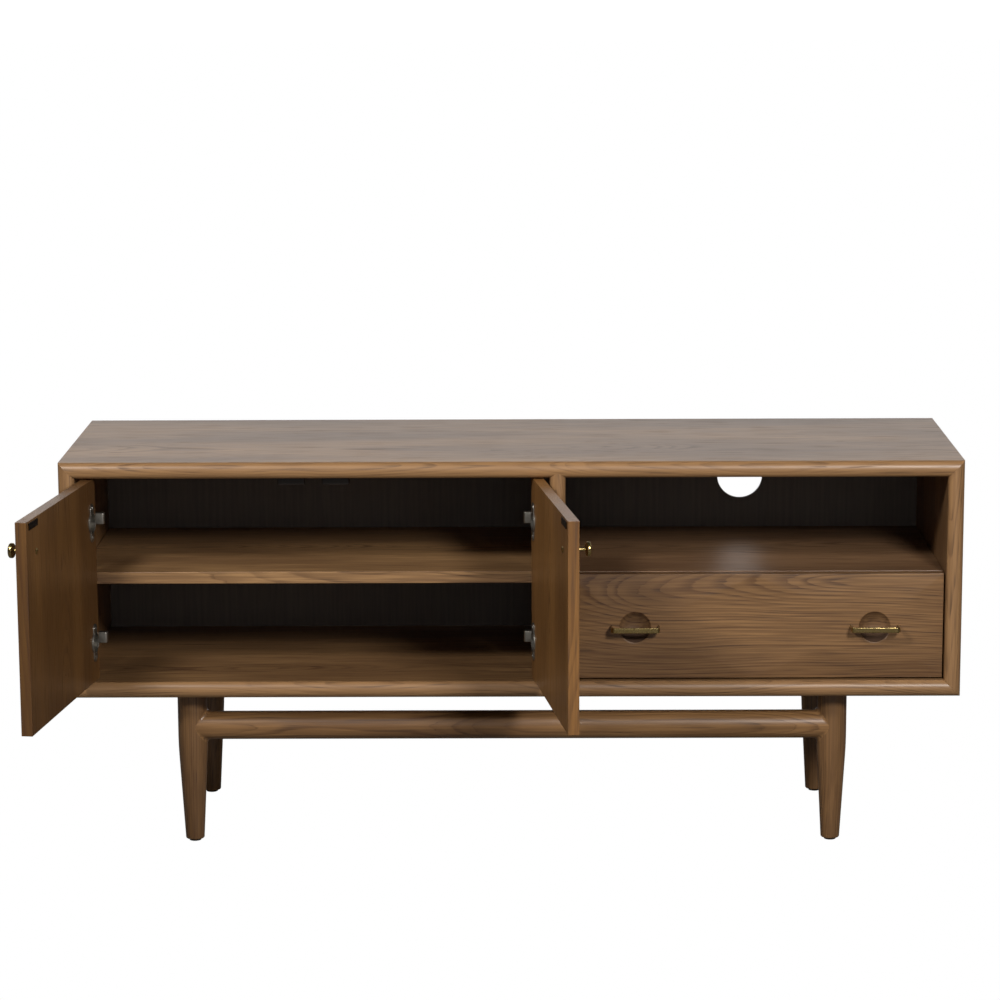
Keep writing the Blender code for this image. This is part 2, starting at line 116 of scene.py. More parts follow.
def span_in(place, node):
    """Lowest and highest corner of a CAD node in the frame of a matrix."""
    mesh = frame["nodes"][node].data
    points = np.empty(3 * len(mesh.vertices), np.float32)
    mesh.vertices.foreach_get("co", points)
    back = np.array(place.inverted())
    local = points.reshape(-1, 3) @ back[:3, :3].T + back[:3, 3]
    return local.min(0), local.max(0)


TOP_LOW, TOP_HIGH = span("case_top")
BOTTOM_LOW, BOTTOM_HIGH = span("case_bottom")
PANEL = TOP_HIGH[2] - TOP_LOW[2]
FRONT_Y, BACK_Y = TOP_LOW[1], TOP_HIGH[1]
CASE_X = middle("case_top")[0]
CASE_Z = (BOTTOM_LOW[2] + TOP_HIGH[2]) / 2
HINGES = {joint["name"]: joint for joint in frame["joints"] if joint["type"] == "hinge"}


def door_place(side):
    """Matrix from a door's own frame, as it lies shut, to its place standing open."""
    joint = HINGES[f"door_{side}_hinge"]
    turn = radians(joint["range_deg"][0]) * (1 if side == "left" else -1)
    return Matrix.Translation(joint["pos_m"]) @ Matrix.Rotation(turn, 4, "Z")


# ---------------------------------------------------------------- materials
def tone(code):
    """Linear colour of an sRGB hex code."""
    parts = [int(code[k:k + 2], 16) / 255 for k in (1, 3, 5)]
    return (*[c / 12.92 if c <= 0.04045 else ((c + 0.055) / 1.055) ** 2.4 for c in parts], 1.0)


def put(tree, kind, feeds=None, **settings):
    """Add one node, set it up, and fill its inputs with values or other nodes' sockets."""
    made = tree.nodes.new("ShaderNode" + kind)
    for name, value in settings.items():
        setattr(made, name, value)
    for name, value in (feeds or {}).items():
        if isinstance(value, bpy.types.NodeSocket):
            tree.links.new(value, made.inputs[name])
        else:
            made.inputs[name].default_value = value
    return made


def new_material(name, roughness, metallic=0.0):
    """Material with its node tree and its shader."""
    made = bpy.data.materials.new(name)
    made.use_nodes = True
    shader = made.node_tree.nodes["Principled BSDF"]
    shader.inputs["Roughness"].default_value = roughness
    shader.inputs["Metallic"].default_value = metallic
    return made, made.node_tree, shader


def stretch(tree, source, factors):
    """Places multiplied by factors, so that a pattern of size 1 repeats that often in a metre."""
    return put(tree, "VectorMath", {0: source, 1: factors}, operation="MULTIPLY").outputs[0]


def blend(tree, factor, low, high, kind="MIX"):
    """Mix of two colours; factor, low and high are values or sockets."""
    mixed = put(tree, "Mix", data_type="RGBA", blend_type=kind)
    for index, value in ((0, factor), (6, low), (7, high)):
        if isinstance(value, bpy.types.NodeSocket):
            tree.links.new(value, mixed.inputs[index])
        else:
            mixed.inputs[index].default_value = value
    return mixed.outputs[2]


def remap(tree, value, low, high, to_low, to_high, smooth=True):
    """Value carried from one range to another and held at its ends, on a soft S-curve if smooth."""
    feeds = {0: value, 1: low, 2: high, 3: to_low, 4: to_high}
    return put(tree, "MapRange", feeds, clamp=True,
               interpolation_type="SMOOTHSTEP" if smooth else "LINEAR").outputs[0]


def maths(tree, operation, *values):
    """Result of one Math node."""
    return put(tree, "Math", dict(enumerate(values)), operation=operation).outputs[0]


# Patterns in oak as repeats in a metre: along the grain, across it, and into the board.
TONE_DRIFT = (1.6, 9.0, 9.0)        # slow change of tone, 0.6 m long and 110 mm wide
RING_WANDER = (2.2, 5.0, 5.0)       # how the rings wander along the trunk
RING_RAGGED = (8.0, 150.0, 150.0)   # frayed borders of a year's growth
FIBRES = (8.0, 240.0, 240.0)        # bundles of fibres 4 mm wide, drawn coarse so that they show
PORE_ROWS = (10.0, 330.0, 330.0)    # rows of pores 3 mm apart, three times the real distance
WANDER_ACROSS, WANDER_DEEP = 0.060, 0.070   # how far they wander, in metres

OAK_LIGHT = "#926D46"     # smooth late growth, where the stain stays on the surface
OAK_MID = "#725334"       # late growth where the stain has gone deeper
OAK_DARK = "#44291A"      # open early growth, which drinks the stain
OAK_PORE = "#2C180C"      # open pores, where the stain dries darkest
OAK_NOSE = "#A17A52"      # solid edges, sanded finer, so they take less stain than the veneer
OAK_SCOOP_SHADE = "#2C180D"     # painted shade in the finger scoops, darkest below the strap, where its shadow falls
X_AXIS, Y_AXIS, Z_AXIS = Vector((1, 0, 0)), Vector((0, 1, 0)), Vector((0, 0, 1))


def stained_oak(name, along, across, centre, seed=0.0, pith=0.075, ring=4.2, slope=0.05,
                roughness=0.38, contrast=1.0, painted_light_scale=(1.0, 1.0, 1.0)):
    """Oak, sawn to a board or turned, stained walnut brown and sprayed with satin lacquer.

    It gives the eye brown wood with darker lines and arches and a soft sheen that breaks up in
    the pores. The board is cut from a log of concentric growth rings whose centre line lies pith
    metres under the face and rises by slope along the board, which draws arches down the middle
    and straight grain at the sides: a point's ring is its distance from that line over ring, the
    growth of one year in millimetres. along, across and centre place the log. Pores are 0.3 mm
    wide in real oak and are drawn several times as wide, so that they show. The last argument
    multiplies the veneer's colour: painted light and shade, lighter or darker as a board is lit.
    """
    mat, tree, shader = new_material(name, roughness)
    rotation = Matrix((along, across, along.cross(across)))
    shift = -(rotation @ Vector(centre))
    spot = put(tree, "TexCoord").outputs["Object"]
    grain = put(tree, "Mapping", {"Vector": spot, "Rotation": rotation.to_euler(),
                                  "Location": shift}, vector_type="POINT").outputs[0]
    seeded = put(tree, "VectorMath", {0: grain, 1: (seed * 3.7, seed * 1.3, seed * 2.1)},
                 operation="ADD").outputs[0]

    def noise(stretched, detail=2.0, output="Fac"):
        return put(tree, "TexNoise", {"Vector": stretch(tree, seeded, stretched), "Scale": 1.0,
                                      "Detail": detail}).outputs[output]

    def product(*values):
        return maths(tree, "MULTIPLY", *values)

    # Rings: distance from the log's centre line, bent by a slow drift, uneven in their widths
    # and frayed at their borders.
    drift = put(tree, "VectorMath", {0: noise(RING_WANDER, 1.0, "Color"), 1: (0.5, 0.5, 0.5)},
                operation="SUBTRACT").outputs[0]
    bent = stretch(tree, drift, (0.0, WANDER_ACROSS, WANDER_DEEP))
    pushed = put(tree, "VectorMath", {0: bent, 1: grain}, operation="ADD").outputs[0]
    parts = put(tree, "SeparateXYZ", {0: pushed}).outputs
    deep = maths(tree, "ADD", maths(tree, "MULTIPLY_ADD", parts[0], slope, pith), parts[2])
    radius = maths(tree, "SQRT", maths(tree, "ADD", product(parts[1], parts[1]),
                                       product(deep, deep)))
    uneven = put(tree, "TexNoise", {"W": product(radius, 60.0), "Scale": 1.0, "Detail": 1.0},
                 noise_dimensions="1D").outputs["Fac"]
    ragged = product(noise(RING_RAGGED, 1.0), 0.45)
    years = maths(tree, "MULTIPLY_ADD", radius, 1000.0 / ring,
                  maths(tree, "MULTIPLY_ADD", uneven, 2.4, ragged))
    # Early growth: dark where a year starts, gone half way through it, stronger in some years.
    season = maths(tree, "FRACT", years)
    vigour = put(tree, "TexWhiteNoise", {"W": maths(tree, "FLOOR", years)},
                 noise_dimensions="1D").outputs["Value"]
    early = maths(tree, "MAXIMUM", remap(tree, season, 0.0, 0.55, 1.0, 0.0),
                  remap(tree, season, 0.90, 1.0, 0.0, 1.0))
    early = product(early, maths(tree, "MULTIPLY_ADD", vigour, 0.70, 0.30))
    # Pores: rows along the grain, most of them in the early growth.
    streak = noise(PORE_ROWS, 1.5)
    open_grain = product(remap(tree, streak, 0.50, 0.66, 0.0, 1.0),
                         remap(tree, early, 0.0, 0.7, 0.22, 1.0))
    fibre = noise(FIBRES)
    nose = put(tree, "Attribute", attribute_name="solid_edge").outputs["Fac"]
    hollow = put(tree, "Attribute", attribute_name="scooped").outputs["Fac"]

    # Colour: two stains that drift into each other, scaled by each board's painted light and shade,
    # then fibres, early growth and pores, calmer on solid edges, and last painted shade in the
    # scoops.
    colour = blend(tree, remap(tree, noise(TONE_DRIFT), 0.30, 0.70, 0.0, 1.0),
                   tone(OAK_MID), tone(OAK_LIGHT))
    # Painted light and shade: each board's colour is scaled lighter or darker for how it is lit.
    colour = blend(tree, 1.0, colour, (*painted_light_scale, 1.0), "MULTIPLY")
    colour = blend(tree, product(nose, 0.8), colour, tone(OAK_NOSE))
    calm = maths(tree, "MULTIPLY_ADD", nose, -0.45, 1.0)
    soft = remap(tree, fibre, 0.32, 0.68, 0.0, 0.42 * contrast)
    colour = blend(tree, product(soft, calm), colour, tone(OAK_DARK))
    colour = blend(tree, product(product(early, calm), 0.60 * contrast), colour, tone(OAK_DARK))
    colour = blend(tree, product(open_grain, 0.50 * contrast), colour, tone(OAK_PORE))
    # Painted shade: the finger scoops darkened, most below the strap, where the strap's shadow
    # falls.
    colour = blend(tree, product(hollow, 0.82), colour, tone(OAK_SCOOP_SHADE))
    tree.links.new(colour, shader.inputs["Base Color"])
    dull = maths(tree, "MULTIPLY_ADD", hollow, 0.50,
                 remap(tree, open_grain, 0.0, 1.0, roughness, roughness + 0.18))
    tree.links.new(dull, shader.inputs["Roughness"])
    height = maths(tree, "SUBTRACT", product(fibre, 0.25), open_grain)
    tree.links.new(put(tree, "Bump", {"Height": height, "Strength": 0.20, "Distance": 0.0002})
                   .outputs[0], shader.inputs["Normal"])
    return mat


def metal(name, colour, worn, roughness, scratch=(40.0, 40.0, 900.0)):
    """Plated or solid metal with a faint brushed grain and cloudy handling marks."""
    mat, tree, shader = new_material(name, roughness, 1.0)
    spot = put(tree, "TexCoord").outputs["Object"]
    cloud = put(tree, "TexNoise", {"Vector": spot, "Scale": 90.0, "Detail": 3.0}).outputs["Fac"]
    line = put(tree, "TexNoise", {"Vector": stretch(tree, spot, scratch), "Scale": 1.0,
                                  "Detail": 2.0}).outputs["Fac"]
    mark = remap(tree, cloud, 0.35, 0.70, 0.0, 1.0)
    tree.links.new(blend(tree, mark, tone(colour), tone(worn)), shader.inputs["Base Color"])
    rough = maths(tree, "ADD", remap(tree, cloud, 0.3, 0.7, roughness - 0.05, roughness + 0.08),
                  remap(tree, line, 0.3, 0.7, 0.0, 0.08))
    tree.links.new(rough, shader.inputs["Roughness"])
    tree.links.new(put(tree, "Bump", {"Height": line, "Strength": 0.05, "Distance": 0.00002})
                   .outputs[0], shader.inputs["Normal"])
    return mat


def plain(name, colour, fleck, roughness, scale=(700.0, 700.0, 700.0)):
    """Moulded plastic or board: a fine speckle in colour, roughness and height."""
    mat, tree, shader = new_material(name, roughness)
    spot = put(tree, "TexCoord").outputs["Object"]
    speck = put(tree, "TexNoise", {"Vector": stretch(tree, spot, scale), "Scale": 1.0,
                                   "Detail": 2.0}).outputs["Fac"]
    tree.links.new(blend(tree, remap(tree, speck, 0.3, 0.7, 0.0, 1.0), tone(colour), tone(fleck)),
                   shader.inputs["Base Color"])
    tree.links.new(remap(tree, speck, 0.3, 0.7, roughness - 0.06, roughness + 0.08),
                   shader.inputs["Roughness"])
    tree.links.new(put(tree, "Bump", {"Height": speck, "Strength": 0.15, "Distance": 0.0001})
                   .outputs[0], shader.inputs["Normal"])
    return mat


# ---------------------------------------------------------------- meshes
def quads(rows, columns, first):
    """Corner numbers of the faces between the points of a sheet."""
    spot = np.arange(rows * columns).reshape(rows, columns) + first
    return np.stack([spot[:-1, :-1], spot[:-1, 1:], spot[1:, 1:], spot[1:, :-1]], -1).reshape(-1, 4)


def mark_points(mesh, name, rule):
    """Point attribute whose value is a rule of the points' X, Y and Z."""
    spots = np.empty(3 * len(mesh.vertices), np.float32)
    mesh.vertices.foreach_get("co", spots)
    values = rule(spots[0::3], spots[1::3], spots[2::3])
    mark = mesh.attributes.new(name, "FLOAT", "POINT")
    mark.data.foreach_set("value", values.astype(np.float32))


def piece(name, body, finish, sheets, caps=(), stands_for=(), place=None,
          edge_depth=None, scoop_shade_from=None):
    """One mesh from sheets of points (rows x columns x 3) and flat caps, welded where they meet.

    place carries the points before the faces are turned outwards, so it may be a mirror.
    Points in front of edge_depth (a Y place) are marked as solid edge wood. The last argument
    gives a Y place and a Z place: points behind the first are marked for painted shade in the
    scoops, and more strongly below the second, where the strap's shadow is painted.
    """
    points, faces, count = [], [], 0
    for sheet in sheets:
        rows, columns = sheet.shape[:2]
        points.append(sheet.reshape(-1, 3))
        faces += quads(rows, columns, count).tolist()
        count += rows * columns
    for cap in caps:
        points.append(np.asarray(cap))
        faces.append(list(range(count, count + len(cap))))
        count += len(cap)
    mesh = bpy.data.meshes.new(name)
    mesh.from_pydata(np.vstack(points).tolist(), [], faces)
    if place is not None:
        mesh.transform(place)
    shape = bmesh.new()
    shape.from_mesh(mesh)
    bmesh.ops.remove_doubles(shape, verts=shape.verts, dist=WELD)
    bmesh.ops.dissolve_degenerate(shape, edges=shape.edges, dist=1e-7)
    bmesh.ops.recalc_face_normals(shape, faces=shape.faces)
    shape.to_mesh(mesh)
    shape.free()
    if edge_depth is not None:
        mark_points(mesh, "solid_edge", lambda x, y, z: np.clip((edge_depth - y) / 0.0005, 0, 1))
    # Painted shade mask for the scoops, stronger below the given height, under the strap.
    if scoop_shade_from is not None:
        mark_points(mesh, "scooped", lambda x, y, z: np.clip((y - scoop_shade_from[0]) / 0.0010, 0, 1)
                    * (0.3 + 0.7 * np.clip((scoop_shade_from[1] - z) / 0.0060, 0, 1)))
    mesh.shade_smooth()
    mesh.set_sharp_from_angle(angle=radians(CREASE))
    mesh.materials.append(finish)
    made = bpy.data.objects.new(name, mesh)
    bpy.context.scene.collection.objects.link(made)
    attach(made, body)
    if stands_for:
        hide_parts(*stands_for)


def arc(centre, radius, start, end, steps):
    """Points on a circle between two angles in degrees."""
    turn = np.radians(np.linspace(start, end, steps + 1))
    return np.column_stack([centre[0] + radius * np.cos(turn), centre[1] + radius * np.sin(turn)])


def turned(profile, steps=96):
    """Sheet of a turned piece: every (radius, height) of the profile goes round the Z axis."""
    profile = np.asarray(profile)
    turn = np.linspace(0, 2 * pi, steps + 1)
    radius, height = profile[:, :1], profile[:, 1:]
    return np.stack([radius * np.cos(turn), radius * np.sin(turn),
                     height + 0 * turn], -1)


def rounded_rectangle(wide, high, radius):
    """Closed outline, corner arcs joined by straight sides."""
    steps = 6
    x, y = wide / 2 - radius, high / 2 - radius
    corners = [arc((x, y), radius, 0, 90, steps), arc((-x, y), radius, 90, 180, steps),
               arc((-x, -y), radius, 180, 270, steps), arc((x, -y), radius, 270, 360, steps)]
    outline = np.vstack(corners)
    return np.vstack([outline, outline[:1]])


def carried(path, section):
    """Section carried along a path in the XY plane; its first axis lies to the path's left."""
    path = np.asarray(path)
    step = np.gradient(path, axis=0)
    step /= np.linalg.norm(step, axis=1, keepdims=True)
    left = np.column_stack([-step[:, 1], step[:, 0]])
    flat = path[:, None, :] + left[:, None, :] * section[None, :, :1]
    up = np.broadcast_to(section[None, :, 1:], flat.shape[:2] + (1,))
    return np.concatenate([flat, up], -1)


# ---------------------------------------------------------------- case
def nose_outline(front, back):
    """Board section: half an ellipse at the front, eased square edges at the back."""
    turn = np.linspace(-pi / 2, pi / 2, 37)
    ellipse = np.column_stack([front + NOSE * (1 - np.cos(turn)), PANEL / 2 * np.sin(turn)])
    half = PANEL / 2
    straight = front + NOSE + NOSE_BEHIND
    upper = [(straight, half), (back - EASE, half), (back, half - EASE)]
    lower = [(back, EASE - half), (back - EASE, -half), (straight, -half)]
    return np.vstack([ellipse, upper, lower, ellipse[:1]])


def case_board(name, node, along, outward, finish):
    """One board of the case: the section runs along X or Z and both ends are cut at 45 degrees.

    outward is the way its outer face looks along the third axis. A point's distance from the
    board's middle is half its length, less its depth under the outer face.
    """
    low, high = span(node)
    centre = (low + high) / 2
    outline = nose_outline(low[1], high[1])
    through = outline[:, 1]
    inset = PANEL / 2 - outward * through + GAP / 2
    if along == 0:
        reach, middle_along = (TOP_HIGH[0] - TOP_LOW[0] + GAP) / 2, CASE_X
    else:
        reach, middle_along = (TOP_HIGH[2] - BOTTOM_LOW[2]) / 2, CASE_Z
    ends = []
    for way in (-1, 1):
        points = np.zeros((len(outline), 3))
        points[:, along] = middle_along + way * (reach - inset)
        points[:, 1] = outline[:, 0]
        points[:, 2 - along] = centre[2 - along] + through
        ends.append(points)
    piece(name, "case", finish, [np.stack(ends)],
          [ends[0][:-1], ends[1][:-1]], (node,), edge_depth=low[1] + NOSE + SOLID_EDGE)


def divider_upright(finish):
    """Upright with an elliptical nose; its ends follow the noses of the boards above and below.

    At each depth the upright reaches to where the board's elliptical nose is at that depth.
    """
    low, high = span("divider")
    half = (high[0] - low[0]) / 2
    x = (high[0] + low[0]) / 2
    turn = np.linspace(0, pi / 2, 25)
    depth = np.concatenate([low[1] + NOSE * (1 - np.cos(turn)),
                            [low[1] + NOSE + NOSE_BEHIND, high[1] - EASE, high[1]]])
    width = np.concatenate([half * np.sin(turn), [half, half, half - EASE]])
    bulge = np.clip((FRONT_Y + NOSE - depth) / NOSE, 0, 1)
    nose = PANEL / 2 * np.sqrt(1 - bulge ** 2)
    above = TOP_LOW[2] + PANEL / 2 - nose - GAP
    below = BOTTOM_HIGH[2] - PANEL / 2 + nose + GAP
    loops = [np.column_stack([x + way * width, depth, height])
             for way, height in ((-1, below), (-1, above), (1, above), (1, below), (-1, below))]
    sheet = np.stack(loops, 1)
    piece("divider_upright", "case", finish, [sheet], [sheet[-1][:-1]], ("divider",),
          edge_depth=low[1] + NOSE + SOLID_EDGE)


# ---------------------------------------------------------------- drawer
def scoop_depth(distance):
    """Depth of the face at a distance from a scoop's middle: a ball's cap with a softened rim."""
    ball = (SCOOP_RADIUS ** 2 + SCOOP_DEEP ** 2) / (2 * SCOOP_DEEP)
    cap = np.sqrt(np.maximum(ball ** 2 - distance ** 2, 0)) - (ball - SCOOP_DEEP)
    share = np.clip(0.5 + 0.5 * cap / SCOOP_RIM, 0, 1)
    return cap * share + SCOOP_RIM * share * (1 - share)


def rectangle_loop(x, z):
    """Points round a rectangle, from the sample places along its two directions."""
    return np.vstack([np.column_stack([x, np.full_like(x, z[0])]),
                      np.column_stack([np.full_like(z, x[-1]), z])[1:],
                      np.column_stack([x[::-1], np.full_like(x, z[-1])])[1:],
                      np.column_stack([np.full_like(z, x[0]), z[::-1]])[1:]])


def drawer_face(finish):
    """Board with two scooped finger hollows: rays run from each hollow's middle to a rectangle.

    Along a ray the depth is the scoop's, and past the rim the board is flat. The outer edge
    turns back round a small arc.
    """
    low, high = span("drawer_front")
    ease = FACE_EASE
    centre_x = (low[0] + high[0]) / 2
    pull_z = middle("pull_left")[2]
    z = np.linspace(low[2] + ease, high[2] - ease, 49)
    halves = {-1: np.linspace(low[0] + ease, centre_x, 97),
              1: np.linspace(centre_x, high[0] - ease, 97)}
    fine = np.linspace(SCOOP_RADIUS - 0.002, SCOOP_RADIUS + 0.002, 11)
    rings = np.concatenate([np.linspace(0, SCOOP_RADIUS - 0.002, 20)[:-1], fine])
    sheets = []
    for way, x in halves.items():
        spot = np.array([centre_x + way * PULL_SPACING / 2, pull_z])
        rim = rectangle_loop(x, z)
        ray = rim - spot
        ray /= np.linalg.norm(ray, axis=1, keepdims=True)
        flat = spot + rings[:, None, None] * ray[None]
        deep = np.broadcast_to(scoop_depth(rings)[:, None], flat.shape[:2])
        inner = np.stack([flat[..., 0], low[1] + deep, flat[..., 1]], -1)
        outer = np.column_stack([rim[:, 0], np.full(len(rim), low[1]), rim[:, 1]])
        sheets.append(np.concatenate([inner, outer[None]]))
    rim = rectangle_loop(np.concatenate([halves[-1], halves[1][1:]]), z)
    at_side = np.isclose(rim[:, 0], low[0] + ease) | np.isclose(rim[:, 0], high[0] - ease)
    out = np.column_stack([np.sign(rim[:, 0] - centre_x) * at_side,
                           1.0 * np.isclose(rim[:, 1], z[-1]) - np.isclose(rim[:, 1], z[0])])
    turn = np.linspace(0, pi / 2, 5)
    grow = np.concatenate([ease * np.sin(turn), ease * np.cos(turn)])
    back = np.concatenate([low[1] + ease * (1 - np.cos(turn)), high[1] - ease * (1 - np.sin(turn))])
    loops = rim[None] + grow[:, None, None] * out[None]
    depth = np.broadcast_to(back[:, None], loops.shape[:2])
    edge = np.stack([loops[..., 0], depth, loops[..., 1]], -1)
    # The scoops get painted shade, strongest below the strap, where its shadow falls.
    piece("drawer_face", "drawer_body", finish, sheets + [edge], [edge[-1][:-1]],
          ("drawer_front",), scoop_shade_from=(low[1] + 0.0004, pull_z - 0.001))


def strap_pull(name, node, finish):
    """Flat strap bent back at both ends: a rounded rectangle carried along a U."""
    low, high = span(node)
    half = (high[0] - low[0] - STRAP_THICK) / 2
    bend = STRAP_BEND - STRAP_THICK / 2
    x = (low[0] + high[0]) / 2
    out = low[1] + STRAP_THICK / 2
    back = high[1]
    path = np.vstack([[(x - half, back)], arc((x - half + bend, out + bend), bend, 180, 270, 14),
                      arc((x + half - bend, out + bend), bend, 270, 360, 14), [(x + half, back)]])
    section = rounded_rectangle(STRAP_THICK, high[2] - low[2], STRAP_EDGE)
    sheet = carried(path, section)
    sheet[..., 2] += (low[2] + high[2]) / 2
    piece(name, "drawer_body", finish, [sheet], [sheet[0][:-1], sheet[-1][:-1]],
          (node,))


# ---------------------------------------------------------------- knobs
def knob(side, finish):
    """Thin stem with a small base collar and a rounded disc, turned about the stem.

    The profile runs from the tip round the disc's edge and down the stem to the door.
    """
    place = door_place(side)
    low, high = span_in(place, f"knob_{side}")
    centre = Vector((low + high) / 2)
    edge = (high[2] - low[2]) / 2 - KNOB_ROUND
    flare_out = KNOB_STEM_RADIUS + KNOB_FLARE
    profile = np.vstack([[(0, KNOB_TIP)],
                         arc((edge, KNOB_TIP - KNOB_ROUND), KNOB_ROUND, 90, 0, 10),
                         arc((edge, KNOB_STEM + KNOB_ROUND), KNOB_ROUND, 0, -90, 10),
                         arc((flare_out, KNOB_STEM - KNOB_FLARE), KNOB_FLARE, 90, 180, 6),
                         arc((flare_out, KNOB_COLLAR_HIGH + KNOB_FLARE), KNOB_FLARE, 180, 270, 6),
                         [(KNOB_COLLAR_RADIUS, KNOB_COLLAR_HIGH), (KNOB_COLLAR_RADIUS, GAP),
                          (0, GAP)]])
    on_door = Matrix.Translation((centre.x, -DOOR_FACE_BACK, centre.z))
    aim = on_door @ Matrix.Rotation(pi / 2, 4, "X")
    piece(f"knob_turned_{side}", f"door_{side}_body", finish,
          [turned(profile, 72)], stands_for=(f"knob_{side}",), place=place @ aim)


# ---------------------------------------------------------------- hinges and other fittings
def eased_slab(outline, low, high, ease):
    """Closed outline raised from low to high along Z, its rims rounded by quarter circles.

    Along the rounding the outline shrinks towards its inside by ease * (1 - cos) while the
    height changes by ease * sin. Returns the sheet and its two flat caps.
    """
    ahead = np.roll(outline[:-1], -1, 0) - np.roll(outline[:-1], 1, 0)
    ahead /= np.linalg.norm(ahead, axis=1, keepdims=True)
    inward = np.column_stack([-ahead[:, 1], ahead[:, 0]])
    area = np.sum(outline[:-1, 0] * outline[1:, 1] - outline[1:, 0] * outline[:-1, 1])
    inward = np.vstack([inward, inward[:1]]) * np.sign(area)
    turn = np.linspace(0, pi / 2, 5)
    shrink = ease * np.concatenate([1 - np.sin(turn), 1 - np.cos(turn)])
    height = np.concatenate([low + ease * (1 - np.cos(turn)), high - ease * (1 - np.sin(turn))])
    flat = outline[None] + shrink[:, None, None] * inward[None]
    raised = np.broadcast_to(height[:, None, None], flat.shape[:2] + (1,))
    sheet = np.concatenate([flat, raised], -1)
    return sheet, [sheet[0][:-1], sheet[-1][:-1]]


def screw_head(x, y, low, radius, high, turn):
    """Low domed head with a cross recess: height over radius and angle, less the recess's depth.

    The recess is deep where a point lies within the arm's width of either of two crossing lines.
    """
    out = np.concatenate([np.linspace(0, 0.94, 18), [0.98, 1.0, 1.0]])
    angle = np.linspace(0, 2 * pi, 65)
    u, v = out[:, None] * np.cos(angle), out[:, None] * np.sin(angle)
    dome = high * (0.55 + 0.45 * np.sqrt(np.clip(1 - out[:, None] ** 2, 0, 1)))
    arms = [np.clip((SLOT_HALF_WIDE - np.abs(p)) / 0.06, 0, 1)
            * np.clip((SLOT_LONG - np.abs(q)) / 0.08, 0, 1) for p, q in ((u, v), (v, u))]
    height = dome - 0.55 * high * np.maximum(*arms)
    height[-1] = 0
    c, n = cos(turn), sin(turn)
    return np.stack([x + radius * (c * u - n * v), y + radius * (n * u + c * v), low + height], -1)


def placed(sheet, matrix):
    """Sheet of points carried by a 4x4 matrix."""
    turn = np.array(matrix)
    return sheet @ turn[:3, :3].T + turn[:3, 3]


def hinge_cup(side, level, finish):
    """Pressed cup let into the door, with an upright flange round its mouth.

    The cup is a turned profile. The flange's outline is a capsule, or the cup's rim where that
    stands further out, and its section steps from the inner edge over the top to the outside.
    """
    node = f"hinge_cup_{side}_{level}"
    place = door_place(side)
    low, high = span_in(place, node)
    x, z = (low[0] + high[0]) / 2, (low[2] + high[2]) / 2
    proud = FLANGE_THICK
    face = high[1] - proud
    bore, rim = CUP_RADIUS - CUP_WALL, CUP_RADIUS - 0.0001
    floor = low[1] - face + 0.0004
    cup = np.vstack([[(0, floor + 0.0010), (bore - 0.002, floor + 0.0010)],
                     arc((bore - 0.002, floor + 0.0030), 0.002, -90, 0, 5),
                     [(bore, proud - 0.0004), (bore + 0.0004, proud), (rim - 0.0005, proud),
                      (rim, proud - 0.0005), (rim, floor + 0.001), (rim - 0.001, floor),
                      (0, floor)]])
    angle = np.linspace(0, 2 * pi, 97)
    c, n = np.abs(np.cos(angle)), np.abs(np.sin(angle))
    half, reach = FLANGE_WIDE / 2, (high[2] - low[2]) / 2
    middle_of_end = reach - half
    side_ray = half / np.maximum(c, 1e-6)
    end_ray = middle_of_end * n + np.sqrt(np.clip(half ** 2 - (middle_of_end * c) ** 2, 0, None))
    ray = np.maximum(np.where(side_ray * n <= middle_of_end, side_ray, end_ray), rim + 0.0003)
    inner, top = rim - 0.0002, proud - 0.0006
    steps = [(inner, 0, GAP), (inner, 0, top), (0, -0.0006, top), (0, -0.0002, proud - 0.0008),
             (0, 0, proud - 0.0013), (0, 0, GAP), (inner, 0, GAP)]
    loops = []
    for fixed, change, height in steps:
        reach_now = np.full_like(ray, fixed) if fixed else ray + change
        loops.append(np.column_stack([reach_now * np.cos(angle), reach_now * np.sin(angle),
                                      np.full_like(ray, height)]))
    sheets = [turned(cup, 64), np.stack(loops)]
    sheets += [screw_head(0, up * CUP_SCREW_OUT, proud - 0.0008, 0.0037, 0.0014, 0.5 + up * 0.3)
               for up in (-1, 1)]
    aim = Matrix.Translation((x, face, z)) @ Matrix.Rotation(-pi / 2, 4, "X")
    piece(f"pressed_cup_{side}_{level}", f"door_{side}_body", finish, sheets,
          stands_for=(node,), place=place @ aim)


